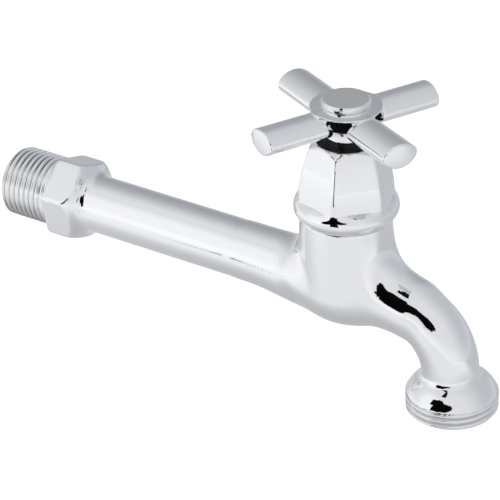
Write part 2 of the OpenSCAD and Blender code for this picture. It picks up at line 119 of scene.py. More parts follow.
class FaucetBonnet(bpy.types.PropertyGroup):
    """Sizes of the bell-shaped bonnet."""
    foot: length("Foot height", "Height of the bonnet's foot above the tube axis", 22.5)
    bead_r: length("Bead radius", "Radius over the bead at the foot", 15.0)
    bead_round: length("Bead round", "Radius of the bead's section", 3.2)
    bead_h: length("Bead height", "Height of the bead", 5.4)
    bell_flat: length("Bell flat", "Distance of the bell's flats from the axis, carried down to the foot", 12.8)
    bell_bow: length("Bell bow", "Radius of the bell's flats seen from the side", 78.0)
    bell_r: length("Bell radius", "Radius over the bell's rounded corners", 14.0)
    top: length("Top height", "Height of the bonnet from foot to top", 23.0)
    top_r: length("Top radius", "Radius of the bonnet's flat top", 8.9)
    top_slope: number("Top slope", "Radius lost for each unit of height of the chamfer", 1.3)
    bore_r: length("Bore radius", "Radius of the spindle's bore", 5.2)
    recess_r: length("Recess radius", "Radius of the recess for the packing ring", 8.42)
    recess_h: length("Recess depth", "Depth of that recess", 2.3)
    corner: number("Corner sharpness", "Sharpness of the bell's six corners", 36.0, min=4)
    nut_r: length("Nut radius", "Radius of the bore for the spindle's screw", 6.05)
    nut_top: length("Nut height", "Height to which the screw's bore runs, above the tube axis", 30.45)
    spigot_r: length("Spigot radius", "Radius of the spigot in the neck", 10.45)
    spigot_z: length("Spigot foot", "Height of the spigot's lower end above the tube axis", 17.95)
    turn: angle("Bonnet turn", "Angle of one corner of the bell from the spout's direction", 47.0)


class FaucetHandle(bpy.types.PropertyGroup):
    """Sizes of the cross handle and its cap."""
    foot: length("Foot height", "Height of the hub's foot above the tube axis", 47.0)
    foot_r: length("Foot radius", "Radius of the hub at its foot", 5.9)
    hub_r: length("Hub radius", "Largest radius of the hub", 10.3)
    foot_h: length("Foot length", "Height of the hub's plain foot", 2.2)
    waist_r: length("Waist radius", "Radius of the hub where its cone grows wider", 6.8)
    waist_h: length("Waist height", "Height of that place above the hub's foot", 4.7)
    cone_h: length("Cone height", "Height of the hub's cone, its foot included", 9.0)
    hub_h: length("Hub height", "Height of the hub", 9.6)
    hub_round: length("Hub round", "Radius of the round at the hub's shoulder", 0.5)
    bore_r: length("Hub bore", "Radius of the bore for the square bush", 5.12)
    bore_h: length("Bore height", "Height of that bore above the hub's foot", 4.9)
    pocket_r: length("Pocket radius", "Radius of the pocket under the cap", 5.0)
    reach: length("Arm reach", "Reach of the arms from the valve axis", 27.9)
    arm_w: length("Arm width", "Width of an arm", 11.0)
    arm_t: length("Arm thickness", "Thickness of an arm", 7.3)
    arm_side: length("Arm side", "Radius of an arm's narrow sides", 2.4)
    arm_h: length("Arm height", "Height of the arms' axis above the hub's foot", 5.3)
    turn: angle("Handle turn", "Angle of one arm from the spout's direction", 64.7)
    cap_r: length("Cap radius", "Radius of the index cap", 7.05)
    cap_t: length("Cap thickness", "Thickness of the index cap", 1.7)
    cap_bevel: length("Cap bevel", "Bevel at the cap's rim", 0.6)
    grain: length("Mesh step", "Step of the grid from which the handle's skin is made", 0.34)


class FaucetFinish(bpy.types.PropertyGroup):
    """Colours and polish of the finishes."""
    chrome: colour("Chrome", "Colour of the polished plate", (0.86, 0.867, 0.88))
    satin: colour("Satin plate", "Colour of the cap's satin plate", (0.78, 0.78, 0.772))
    brass: colour("Brass", "Colour of the inner brass pieces", (0.72, 0.54, 0.26))
    rubber: colour("Rubber", "Colour of the seals", (0.006, 0.006, 0.007))
    gasket: colour("Gasket", "Colour of the bonnet's gasket", (0.82, 0.82, 0.80))
    steel: colour("Steel", "Colour of the screw and its washer", (0.58, 0.58, 0.60))


class FaucetStudio(bpy.types.PropertyGroup):
    """Camera and light of the studio."""
    azimuth: angle("Azimuth", "Direction of the camera round the valve axis", 32.4133)
    elevation: angle("Elevation", "Height of the camera above level", 30.1308)
    distance: length("Distance", "Distance of the camera from the valve", 870.0)
    pan: angle("Pan", "Turn of the camera to the side", 2.0783)
    tilt: angle("Tilt", "Turn of the camera up", -0.6126)
    roll: angle("Roll", "Turn of the camera about its own axis", -1.2474)
    lens: number("Lens", "Focal length on a sensor 36 mm wide", 220.268, unit="CAMERA")
    floor: length("Floor depth", "Depth of the floor below the tube axis", 110.0)
    tent_r: length("Tent radius", "Radius of the white light tent round the faucet", 900.0)
    tint: colour("Tent tint", "Colour of the tent's cloth in front", (0.985, 0.99, 1.0))
    cool: colour("Cool tint", "Colour of the tent's cloth behind the faucet", (0.9, 0.945, 1.0))
    back: number("Back", "Brightness of the tent behind the faucet", 0.63, min=0)
    front: number("Front", "Brightness of the tent on the camera's side", 0.84, min=0)
    key: number("Key", "Extra brightness of the lit panel at the front left", 0.2, min=0)
    shade: number("Shade", "Brightness taken away at the back left", 0.23, min=0)
    crown: number("Crown", "Brightness taken away overhead", 0.03, min=0)
    foot_left: number("Left foot", "Extra brightness of the tent's foot on the left", 0.2, min=0)
    foot_right: number("Right foot", "Extra brightness of the tent's foot on the right", 0.09, min=0)


def in_mm(name):
    """The scene's group of that name, with its lengths in millimetres and its other numbers as they are."""
    group, values = getattr(bpy.context.scene, "faucet_" + name), {}
    for key, prop in group.bl_rna.properties.items():
        if prop.type in {"FLOAT", "INT"} and not prop.is_readonly and not prop.is_array:
            value = getattr(group, key)
            values[key] = value / MM if prop.unit == "LENGTH" else value
    return SimpleNamespace(**values)


# Distance fields: negative inside, in millimetres

def mix(a, b, t):
    return a + (b - a) * t


def ease(t):
    t = np.clip(t, 0.0, 1.0)
    return t * t * (3 - 2 * t)


def join(a, b, k):
    """Union of two fields with a fillet of about k."""
    h = np.clip(0.5 + 0.5 * (b - a) / k, 0, 1)
    return mix(b, a, h) - k * h * (1 - h)


def cut(a, b, k):
    """What both fields share, with its edge rounded by about k."""
    return -join(-a, -b, k)


def rod_field(x, y, z, stations):
    """A round rod through stations of x, z and radius in the plane of symmetry."""
    best = np.full(np.shape(x + y + z), 1e9)
    for (ax, az, ar), (bx, bz, br) in zip(stations[:-1], stations[1:]):
        dx, dz = bx - ax, bz - az
        t = np.clip(((x - ax) * dx + (z - az) * dz) / (dx * dx + dz * dz), 0, 1)
        d = np.sqrt((x - ax - t * dx) ** 2 + y * y + (z - az - t * dz) ** 2) - (ar + t * (br - ar))
        best = np.minimum(best, d)
    return best


# Shares of the spout's bend at which its waist ends and its lean starts, and over which they run
WAIST_END, WAIST_RUN, LEAN_START, LEAN_RUN = 0.62, 0.5, 0.4, 0.7
# Degrees between which the throat's arc runs, and its inset from the neck in millimetres
THROAT_ARC, THROAT_INSET = (17, 76), 3
# Slope of the boss's bevel, and the rounds of its bevel, corners and wall side in millimetres
BEVEL_SLOPE, BEVEL_EDGE, BOSS_CORNER, BOSS_FACE = 0.5, 0.3, 0.35, 0.25
# Waterway in millimetres: drilling under the seat, hole of the seat, slanting passage to the outlet
UNDER_R, UNDER_Z, SEAT_R, SEAT_Z = 3.6, -5.8, 6.22, 0.4
PASSAGE_R, PASSAGE_X, PASSAGE_Z, ELBOW_RISE = 4.2, 5, 5.2, 5.5
# Fillets of the casting in millimetres, and how much they grow by boss, spout and tube
ROD_FILLET, BOSS_FILLET, THROAT_FILLET, NECK_FILLET, FLANGE_FILLET = 0.6, 1.6, 3.0, 3.0, 1.3
BOSS_GROWTH, SPOUT_GROWTH, TUBE_GROWTH = 2.0, 1.2, 6.0
NECK_EDGE, FLANGE_EDGE, FLANGE_LIP = 0.5, 0.3, 0.35
# Way from the middle of the flange's dome to its rim
DOME_OUT, DOME_DOWN = 0.914, 0.407
# Where the fillets grow, in millimetres: along the boss, towards the spout, towards the tube, and up from a depth
BOSS_FROM, BOSS_RUN, SPOUT_RUN, TUBE_FROM, TUBE_RUN = 6, 5, 14, 4, 10
SPOUT_DEPTH, TUBE_DEPTH, RISE_RUN = 4, 8, 10
# Start of the tube, and distances along x within which the forms can change the field, in millimetres
TUBE_START, NEAR, CHAMBER_NEAR = 0.2, 17, 20
# Handle: fillets and rounds in millimetres, fall of the hub's top, width of the arms at their roots
HUB_FILLET, HUB_EDGE, HUB_FOOT, ARM_FILLET, ARM_END = 0.5, 0.3, 0.25, 1.0, 0.55
CROWN_SLOPE, CROWN_INSET = 0.15, 0.3
ROOT_SHARE, ROOT_INSET, ROOT_RUN = 0.45, 2.4, 2.8


def casting_lines(c):
    """Stations of the flare, belly and spout, and of the throat between neck and spout."""
    bend_x = c.spout_reach - c.bend_r
    bend_z = -c.bend_drop - c.bend_r
    line = []
    for t in np.linspace(0, 1, 25):
        s = ease(t)
        line.append((-c.flare * (1 - t), -c.belly_drop * s, mix(c.tube_r, c.belly_r, s)))
    for t in np.linspace(0, 1, 15)[1:]:
        s = ease(t)
        line.append((bend_x * t, mix(-c.belly_drop, -c.bend_drop, s),
                     mix(c.belly_r, c.spout_r + c.spout_swell - c.waist, s)))
    for t in np.linspace(0, 1, 49)[1:]:
        a = math.pi / 2 * (1 - t)
        r = c.bend_r - c.bend_flat * math.sin(2 * a) ** 2
        waist = c.waist * ease((WAIST_END - t) / WAIST_RUN)
        line.append((bend_x + r * math.cos(a) - c.lean * ease(t / LEAN_RUN - LEAN_START),
                     bend_z + r * math.sin(a), c.spout_r + c.spout_swell * (1 - ease(t)) - waist))
    line.append((c.spout_reach - c.lean, -c.flange_z + 1, c.spout_r))
    throat = []
    for t in np.linspace(0, 1, 25):
        a = math.radians(mix(*THROAT_ARC, t))
        throat.append((c.throat_r * (1 - math.cos(a)), c.throat_r * (1 - math.sin(a)) - 2 * c.bend_drop,
                       mix(c.neck_r - THROAT_INSET, c.spout_r, t) + c.spout_swell * t))
    return np.array(line), np.array(throat)


def boss_field(x, y, z, c):
    """Six-sided boss with rounded corners, bevelled at the wall and rounded at the tube."""
    radius = np.hypot(y, z)
    hexagon = np.full(np.shape(radius), -np.inf)
    for k in range(6):
        a = c.boss_turn + math.radians(30 + 60 * k)
        hexagon = np.maximum(hexagon, -y * math.cos(a) + z * math.sin(a) - c.boss_flat)
    knee_r, knee_x = c.boss_r - c.boss_round, c.boss_len - c.boss_round
    round_end = np.hypot(np.maximum(radius - knee_r, 0), np.maximum(x - knee_x, 0)) - c.boss_round
    bevel = (radius - c.boss_r + c.boss_bevel * BEVEL_SLOPE - x * BEVEL_SLOPE) / math.hypot(1, BEVEL_SLOPE)
    shape = cut(np.maximum(radius - c.boss_r, round_end), bevel, BEVEL_EDGE)
    return cut(cut(hexagon, shape, BOSS_CORNER), -x, BOSS_FACE)


def chamber_field(x, y, z, c, body, throat):
    """The body with the throat, the neck and the flange, in the stretch round valve and spout."""
    vx = c.valve_x
    neck_radius = np.hypot(x - vx, y)
    bowl = np.hypot(np.maximum(neck_radius - c.neck_r + c.bowl_round, 0), np.minimum(z, 0))
    neck = cut(bowl - c.bowl_round, z - c.neck_top, NECK_EDGE)
    body = join(body, rod_field(x, y, z, throat), THROAT_FILLET)
    at_spout = ease((x - vx) / SPOUT_RUN) * ease((z + SPOUT_DEPTH) / RISE_RUN)
    at_tube = ease((vx - TUBE_FROM - x) / TUBE_RUN) * ease((z + TUBE_DEPTH) / RISE_RUN)
    body = join(body, neck, NECK_FILLET + SPOUT_GROWTH * at_spout + TUBE_GROWTH * at_tube)
    rim = np.hypot(x - vx - c.spout_reach, y)
    middle_r = c.flange_r - DOME_OUT * c.flange_dome
    middle_z = c.flange_z + DOME_DOWN * c.flange_dome
    dome = np.hypot(np.maximum(rim - middle_r, 0), z + middle_z) - c.flange_dome
    dome = cut(np.maximum(dome, rim - c.flange_r), -(z + c.flange_z + FLANGE_LIP), FLANGE_EDGE)
    return np.maximum(join(body, dome, FLANGE_FILLET), z - c.neck_top)


def casting_field(c):
    """The cast body with its waterway."""
    line, throat = casting_lines(c)
    vx = c.valve_x
    line[:, 0] += vx
    throat[:, 0] += vx
    outlet_x = vx + c.spout_reach
    elbow_z = c.outlet_bore_r - (c.flange_z - ELBOW_RISE) / 2 - c.spout_r
    bore_end = vx + 2 * c.bore_r - c.flare
    passage = np.array([(vx + PASSAGE_X, c.chamber_floor + PASSAGE_Z, PASSAGE_R), (outlet_x, elbow_z, PASSAGE_R)])
    drain = np.array([(bore_end - c.bore_r, 0, UNDER_R), (vx, UNDER_Z, UNDER_R)])

    def field(p):
        x, y, z = p[..., 0], p[..., 1], p[..., 2]
        low, high = float(x.min()) - NEAR, float(x.max()) + NEAR
        radius = np.hypot(y, z)
        body = np.maximum(np.maximum(radius - c.tube_r, x - vx), -x - TUBE_START)
        near = (line[:, 0] > low) & (line[:, 0] < high)
        if near.any():
            keep = slice(max(np.argmax(near) - 1, 0), len(near) - np.argmax(near[::-1]) + 1)
            if len(line[keep]) > 1:
                body = join(body, rod_field(x, y, z, line[keep]), ROD_FILLET)
        if low < c.boss_len + NEAR:
            body = join(body, boss_field(x, y, z, c), BOSS_FILLET + BOSS_GROWTH * ease((x - BOSS_FROM) / BOSS_RUN))
        if high > vx - CHAMBER_NEAR:
            body = chamber_field(x, y, z, c, body, throat)
            neck_radius, rim = np.hypot(x - vx, y), np.hypot(x - outlet_x, y)
            for hollow in (np.maximum(neck_radius - c.chamber_r, c.chamber_floor - z),
                           np.maximum(neck_radius - SEAT_R, SEAT_Z - z),
                           np.maximum(neck_radius - UNDER_R, UNDER_Z - z), rod_field(x, y, z, passage),
                           np.hypot(rim, np.maximum(z - elbow_z, 0)) - c.outlet_bore_r):
                body = np.maximum(body, -hollow)
        tube_bore = np.hypot(radius, np.maximum(x - bore_end, 0)) - c.bore_r
        body = np.maximum(body, -tube_bore)
        return np.maximum(body, -rod_field(x, y, z, drain))

    return field


def handle_field(h, vx):
    """Hub and four oval arms, with the bore for the bush and the pocket under the cap."""
    half_w, half_t, side = h.arm_w / 2, h.arm_t / 2, h.arm_side
    side_y, step = half_w - side, half_t - side
    bow = (side_y ** 2 - step ** 2) / (2 * step)
    bow_r = half_t + bow
    arm_z = h.foot + h.arm_h

    def oval(u, v):
        u, v = np.abs(u), np.abs(v)
        tip = np.hypot(u - side_y, v) - side
        flank = np.hypot(u, v + bow) - bow_r
        return np.where((u - side_y) * bow - v * side_y > 0, tip, flank)

    def field(p):
        x, y, z = p[..., 0] - vx, p[..., 1], p[..., 2]
        radius, up = np.hypot(x, y), z - h.foot
        cone = radius - h.foot_r
        for low_r, low_h, high_r, high_h in ((h.foot_r, h.foot_h, h.waist_r, h.waist_h),
                                             (h.waist_r, h.waist_h, h.hub_r, h.cone_h)):
            slope = (high_r - low_r) / (high_h - low_h)
            cone = join(cone, (radius - low_r - (up - low_h) * slope) / math.hypot(1, slope), HUB_FILLET)
        knee_r, knee_z = h.hub_r - h.hub_round, h.hub_h - h.hub_round
        dome = np.hypot(np.maximum(radius - knee_r, 0), np.maximum(up - knee_z, 0)) - h.hub_round
        crown = up - h.hub_h + CROWN_SLOPE * np.maximum(radius - h.cap_r + CROWN_INSET, 0)
        hub = cut(cone, np.maximum(np.maximum(dome, crown), radius - h.hub_r), HUB_EDGE)
        hub = cut(hub, -up, HUB_FOOT)
        root = ROOT_SHARE + (1 - ROOT_SHARE) * ease((radius - h.hub_r + ROOT_INSET) / ROOT_RUN)
        arms = np.full(np.shape(radius), np.inf)
        for a in (h.turn, h.turn + math.pi / 2):
            across = -x * math.sin(a) + y * math.cos(a)
            arms = np.minimum(arms, oval(across / root, z - arm_z))
        reach = np.sqrt(x * x + y * y + (z - arm_z) ** 2)
        body = join(hub, cut(arms, reach - h.reach, ARM_END), ARM_FILLET)
        bore = np.maximum(radius - h.bore_r, up - h.bore_h)
        pocket = np.maximum(radius - h.pocket_r, h.bore_h - up)
        return np.maximum(body, -np.minimum(bore, pocket))

    return field


# Meshes

def surface_net(field, low, high, step):
    """Points and four-sided faces of a field's zero surface."""
    axes = [np.arange(a, b + step, step) for a, b in zip(low, high)]
    grid = np.stack(np.meshgrid(*axes[1:], indexing="ij"), axis=-1)
    values = np.empty([len(a) for a in axes])
    for i, x in enumerate(axes[0]):
        values[i] = field(np.concatenate([np.full(grid.shape[:2] + (1,), x), grid], axis=-1))
    inside = values < 0
    shape = np.array(values.shape) - 1
    corners = [(i, j, k) for i in (0, 1) for j in (0, 1) for k in (0, 1)]

    def view(array, corner):
        return array[tuple(slice(o, o + n) for o, n in zip(corner, shape))]

    count = sum(view(inside, c).astype(np.int8) for c in corners)
    cells = np.argwhere((count > 0) & (count < 8))
    index = np.full(shape, -1)
    index[tuple(cells.T)] = np.arange(len(cells))
    total, crossings = np.zeros((len(cells), 3)), np.zeros(len(cells))
    for a in corners:
        for axis in range(3):
            if a[axis]:
                continue
            b = tuple(1 if i == axis else o for i, o in enumerate(a))
            va, vb = view(values, a)[tuple(cells.T)], view(values, b)[tuple(cells.T)]
            hit = (va < 0) != (vb < 0)
            t = np.where(hit, va / np.where(hit, va - vb, 1), 0)
            place = np.array(a, float) + np.outer(t, np.eye(3)[axis])
            total += np.where(hit[:, None], place, 0)
            crossings += hit
    points = np.array(low) + step * (cells + total / crossings[:, None])
    faces = []
    for axis in range(3):
        u, v = (axis + 1) % 3, (axis + 2) % 3
        first = [slice(None)] * 3
        second = [slice(None)] * 3
        first[axis], second[axis] = slice(0, -1), slice(1, None)
        a, b = inside[tuple(first)], inside[tuple(second)]
        edges = np.argwhere(a != b)
        edges = edges[(edges[:, u] > 0) & (edges[:, v] > 0) & (edges[:, u] < shape[u]) & (edges[:, v] < shape[v])]
        around = []
        for du, dv in ((-1, -1), (0, -1), (0, 0), (-1, 0)):
            cell = edges.copy()
            cell[:, u] += du
            cell[:, v] += dv
            around.append(index[tuple(cell.T)])
        quad = np.stack(around, axis=1)
        flip = ~a[tuple(edges.T)]
        quad[flip] = quad[flip][:, ::-1]
        faces.append(quad)
    return points, np.concatenate(faces)


def slope_of(field, points, h):
    rows = []
    for axis in range(3):
        step = np.zeros(3)
        step[axis] = h
        rows.append((evaluate(field, points + step) - evaluate(field, points - step)) / (2 * h))
    return np.stack(rows, axis=1)


def evaluate(field, points):
    """The field at scattered points, taken in bands along x so that only near sections are read."""
    order = np.argsort(points[:, 0])
    out = np.empty(len(points))
    for part in np.array_split(order, max(len(points) // 1500, 1)):
        out[part] = field(points[part])
    return out


def settle(field, points, faces, rounds, h):
    """Evens out the points over the surface and sets them on it, with their normals."""
    pairs = np.concatenate([faces[:, [i, (i + 1) % 4]] for i in range(4)])
    pairs = np.unique(np.sort(pairs, axis=1), axis=0)
    degree = np.bincount(pairs.ravel(), minlength=len(points))[:, None]
    for turn in range(rounds):
        if turn < rounds - 1:
            mean = np.zeros_like(points)
            for axis in range(3):
                mean[:, axis] = (np.bincount(pairs[:, 0], points[pairs[:, 1], axis], len(points))
                                 + np.bincount(pairs[:, 1], points[pairs[:, 0], axis], len(points)))
            points = points + 0.5 * (mean / degree - points)
        for _ in range(2):
            g = slope_of(field, points, h)
            points = points - g * (evaluate(field, points) / np.maximum((g * g).sum(axis=1), 0.2))[:, None]
    normals = slope_of(field, points, 2.5 * h)
    return points, normals / np.linalg.norm(normals, axis=1)[:, None]


def add_object(name, points, faces, material):
    """A smooth mesh object at the origin, from points in millimetres."""
    mesh = bpy.data.meshes.new(name)
    mesh.from_pydata((np.asarray(points) * MM).tolist(), [], [tuple(int(i) for i in f) for f in faces])
    mesh.update()
    mesh.shade_smooth()
    mesh.materials.append(material)
    thing = bpy.data.objects.new(name, mesh)
    bpy.context.scene.collection.objects.link(thing)
    return thing


def add_skin(name, field, low, high, grain, reach):
    """A chrome piece from a field, with the field's own normals taken over a short reach."""
    points, faces = surface_net(field, low, high, grain)
    points, normals = settle(field, points, faces, 4, reach)
    piece = add_object(name, points, faces, chrome_plate())
    piece.data.normals_split_custom_set_from_vertices(normals.tolist())
    return piece


def add_stage(name, points, faces, material):
    """A piece of the studio that the camera itself doesn't see."""
    thing = add_object(name, points, faces, material)
    thing.visible_camera = False
    return thing


def ring_faces(rings, columns):
    """Four-sided faces between rings of points, each ring joined to the next."""
    return [(i * columns + k, i * columns + (k + 1) % columns, (i + 1) * columns + (k + 1) % columns,
             (i + 1) * columns + k) for i in range(rings - 1) for k in range(columns)]


def turned(profile, columns, place):
    """Points and faces of a profile of (radius, height), turned round a line and placed by a matrix."""
    angles = np.arange(columns) * 2 * math.pi / columns
    points = [[r * math.cos(a), r * math.sin(a), h] for r, h in profile for a in angles]
    points = np.array(points) @ np.array(place.to_3x3()).T + np.array(place.translation)
    return points, ring_faces(len(profile), columns)


def patch(outline, radius):
    """A card on a ball, from corners given as directions round its middle."""
    points = [[radius * v for v in towards(*corner)] for corner in (np.mean(outline, axis=0), *outline)]
    n = len(outline)
    return points, [(0, 1 + k, 1 + (k + 1) % n) for k in range(n)]


def merge(*parts):
    """Several sets of points and faces as one."""
    points, faces, start = [], [], 0
    for some, their_faces in parts:
        points.append(np.asarray(some))
        faces += [tuple(int(i) + start for i in f) for f in their_faces]
        start += len(some)
    return np.concatenate(points), faces


def smooth_line(corners, radii, steps=5):
    """A line of (radius, height) corners, each rounded by its own radius."""
    line = [corners[0]]
    for before, here, after, r in zip(corners[:-2], corners[1:-1], corners[2:], radii):
        if r <= 0:
            line.append(here)
            continue
        a = Vector(before) - Vector(here)
        b = Vector(after) - Vector(here)
        half = a.angle(b) / 2
        back = min(r / math.tan(half), 0.48 * a.length, 0.48 * b.length)
        start, end = Vector(here) + a.normalized() * back, Vector(here) + b.normalized() * back
        for i in range(steps + 1):
            t = i / steps
            line.append(tuple((1 - t) ** 2 * start + 2 * t * (1 - t) * Vector(here) + t * t * end))
    line.append(corners[-1])
    return line


# Node trees

class Wiring:
    """Adds nodes to a tree and links them in one call."""

    def __init__(self, tree):
        self.tree = tree

    def node(self, kind, inputs=(), **settings):
        node = self.tree.nodes.new(kind)
        for key, value in settings.items():
            setattr(node, key, value)
        for socket, value in dict(inputs).items():
            target = node.inputs[socket]
            if isinstance(value, bpy.types.NodeSocket):
                self.tree.links.new(value, target)
            else:
                target.default_value = value
        return node

    def math(self, operation, *values):
        return self.node("ShaderNodeMath", dict(enumerate(values)), operation=operation).outputs[0]

    def add(self, a, b):
        return self.math("ADD", a, b)

    def sub(self, a, b):
        return self.math("SUBTRACT", a, b)

    def mul(self, a, b):
        return self.math("MULTIPLY", a, b)

    def vector(self, operation, *values):
        output = "Value" if operation in {"LENGTH", "DOT_PRODUCT"} else "Vector"
        return self.node("ShaderNodeVectorMath", dict(enumerate(values)), operation=operation).outputs[output]

    def ramp(self, value, low, high, bottom=0.0, top=1.0, kind="SMOOTHSTEP"):
        """The value carried from the range low to high into the range bottom to top."""
        given = {"Value": value, "From Min": low, "From Max": high, "To Min": bottom, "To Max": top}
        return self.node("ShaderNodeMapRange", given, interpolation_type=kind).outputs[0]

    def blend(self, part, first, second):
        """A colour between two others."""
        return self.node("ShaderNodeMix", {0: part, 6: first, 7: second}, data_type="RGBA").outputs[2]

    def place(self):
        return self.node("ShaderNodeTexCoord").outputs["Object"]


def add_sockets(tree, way, **kinds):
    """Sockets of a node group, each kind with the names of its sockets."""
    for kind, names in kinds.items():
        for name in names:
            tree.interface.new_socket(name, in_out=way, socket_type="NodeSocket" + kind)


# Thread: part of the pitch from root to crest, and the round of its lead-in as a share of the lead-in
ROOT_PART, CREST_PART, LEAD_ROUND = 0.1, 0.82, 0.25


def thread_tree():
    """A screw thread along X as a node tree with named sizes."""
    tree = bpy.data.node_groups.new("Screw thread", "GeometryNodeTree")
    add_sockets(tree, "OUTPUT", Geometry=("Geometry",))
    add_sockets(tree, "INPUT", Float=("Length", "Pitch", "Crest radius", "Depth", "Lead-in", "Run-out"),
                Int=("Rows", "Columns"), Material=("Material",))
    w = Wiring(tree)
    sizes = w.node("NodeGroupInput").outputs
    grid = w.node("GeometryNodeMeshGrid", {"Size X": 1.0, "Size Y": 1.0, "Vertices X": sizes["Rows"],
                                           "Vertices Y": sizes["Columns"]})
    place = w.node("ShaderNodeSeparateXYZ", {0: w.node("GeometryNodeInputPosition").outputs[0]}).outputs
    along = w.mul(w.add(place[0], 0.5), sizes["Length"])
    round_share = w.add(place[1], 0.5)
    turn = w.mul(round_share, 2 * math.pi)
    phase = w.math("FRACT", w.sub(w.math("DIVIDE", along, sizes["Pitch"]), round_share))
    wave = w.math("ABSOLUTE", w.sub(w.mul(phase, 2.0), 1.0))
    ridge = w.ramp(wave, ROOT_PART, CREST_PART)
    fade_start = w.sub(sizes["Length"], sizes["Run-out"])
    fade = w.ramp(along, fade_start, sizes["Length"], 1.0, 0.0, "LINEAR")
    groove = w.mul(w.mul(w.sub(1.0, ridge), sizes["Depth"]), fade)
    radius = w.sub(sizes["Crest radius"], groove)
    start = w.add(w.sub(sizes["Crest radius"], sizes["Lead-in"]), along)
    radius = w.math("SMOOTH_MIN", radius, start, w.mul(sizes["Lead-in"], LEAD_ROUND))
    spot = w.node("ShaderNodeCombineXYZ", {0: along, 1: w.mul(radius, w.math("COSINE", turn)),
                                           2: w.mul(radius, w.math("SINE", turn))}).outputs[0]
    shaped = w.node("GeometryNodeSetPosition", {"Geometry": grid.outputs["Mesh"], "Position": spot})
    closed = w.node("GeometryNodeMergeByDistance", {"Geometry": shaped.outputs[0], "Distance": 1e-6})
    real = w.node("GeometryNodeRealizeInstances", {"Geometry": closed.outputs[0]})
    painted = w.node("GeometryNodeSetMaterial", {"Geometry": real.outputs[0], "Material": sizes["Material"]})
    w.node("NodeGroupOutput", {0: painted.outputs[0]})
    return tree


def thread_mesh(values, material):
    """Points in millimetres and faces of a screw thread along X, from its sizes in metres."""
    tree = bpy.data.node_groups.get("Screw thread") or thread_tree()
    carrier = bpy.data.objects.new("thread_carrier", bpy.data.meshes.new("thread_carrier"))
    bpy.context.scene.collection.objects.link(carrier)
    modifier = carrier.modifiers.new("Screw thread", "NODES")
    modifier.node_group = tree
    for item in tree.interface.items_tree:
        if item.in_out == "INPUT":
            modifier[item.identifier] = material if item.name == "Material" else values[item.name]
    depsgraph = bpy.context.evaluated_depsgraph_get()
    mesh = bpy.data.meshes.new_from_object(carrier.evaluated_get(depsgraph))
    points = np.empty(len(mesh.vertices) * 3)
    mesh.vertices.foreach_get("co", points)
    faces = [tuple(p.vertices) for p in mesh.polygons]
    carrier.modifiers.remove(modifier)
    bpy.data.objects.remove(carrier)
    bpy.data.meshes.remove(mesh)
    return points.reshape(-1, 3) / MM, faces


# Materials

def surface_group():
    """Colour and polish that drift over a surface: broad patches, fine haze and a low waviness of the polish."""
    tree = bpy.data.node_groups.get("Surface drift")
    if tree:
        return tree
    tree = bpy.data.node_groups.new("Surface drift", "ShaderNodeTree")
    add_sockets(tree, "INPUT", Color=("Colour",), Float=("Shade", "Patch size", "Roughness", "Haze", "Grain size"))
    add_sockets(tree, "OUTPUT", Color=("Colour",), Float=("Roughness", "Height"))
    w = Wiring(tree)
    given = w.node("NodeGroupInput").outputs
    where = w.place()

    def noise(size, detail, roughness):
        scale = w.math("DIVIDE", 1.0, given[size])
        return w.node("ShaderNodeTexNoise", {"Vector": where, "Scale": scale, "Detail": detail,
                                             "Roughness": roughness}).outputs["Fac"]

    broad, fine = noise("Patch size", 3.0, 0.5), noise("Grain size", 4.0, 0.6)
    drift = w.mul(w.sub(broad, 0.5), given["Shade"])
    tone = w.node("ShaderNodeHueSaturation", {"Value": w.add(1.0, drift), "Color": given["Colour"]})
    haze = w.mul(w.sub(fine, 0.35), given["Haze"])
    rough = w.add(given["Roughness"], w.add(haze, w.mul(drift, 0.2)))
    height = w.add(broad, w.mul(fine, 0.05))
    w.node("NodeGroupOutput", {"Colour": tone.outputs[0], "Roughness": rough, "Height": height})
    return tree


def finish(name, rgb, metallic, roughness, haze, shade, patch_size=0.03, grain=0.0015, bump=0.0,
           bump_depth=0.0001):
    """A material whose colour, polish and surface drift are set by the shared group; its sizes are in metres."""
    material = bpy.data.materials.get(name)
    if material:
        return material
    material = bpy.data.materials.new(name)
    material.use_nodes = True
    tree = material.node_tree
    shader = tree.nodes["Principled BSDF"]
    shader.inputs["Metallic"].default_value = metallic
    w = Wiring(tree)
    drift = w.node("ShaderNodeGroup", node_tree=surface_group())
    for socket, value in (("Colour", (*rgb, 1)), ("Shade", shade), ("Patch size", patch_size),
                          ("Roughness", roughness), ("Haze", haze), ("Grain size", grain)):
        drift.inputs[socket].default_value = value
    tree.links.new(drift.outputs["Colour"], shader.inputs["Base Color"])
    tree.links.new(drift.outputs["Roughness"], shader.inputs["Roughness"])
    if bump:
        height = drift.outputs["Height"]
        bumped = w.node("ShaderNodeBump", {"Strength": bump, "Distance": bump_depth, "Height": height})
        tree.links.new(bumped.outputs[0], shader.inputs["Normal"])
    return material


def plain_material(name, grey):
    """A matt grey without gloss."""
    material = bpy.data.materials.new(name)
    material.use_nodes = True
    shader = material.node_tree.nodes["Principled BSDF"]
    shader.inputs["Base Color"].default_value = (grey, grey, grey, 1)
    shader.inputs["Roughness"].default_value = 0.6
    shader.inputs["Specular IOR Level"].default_value = 0.0
    return material


def bare_material(name):
    """A material without nodes, and the wiring for its tree."""
    material = bpy.data.materials.new(name)
    material.use_nodes = True
    material.node_tree.nodes.clear()
    return material, Wiring(material.node_tree)


def towards(azimuth, elevation):
    """Unit vector to a place round the faucet, in degrees from the front and above level."""
    a, e = math.radians(azimuth), math.radians(elevation)
    return math.sin(a) * math.cos(e), -math.cos(a) * math.cos(e), math.sin(e)


# Middles of the tent's lit front, panel, shaded part, top and lit foot, in degrees from the front and above level
FRONT, PANEL, SHADED, TOP, FOOT = (-12, 8), (-30, 24), (-132, 16), (0, 90), (-58, 0)


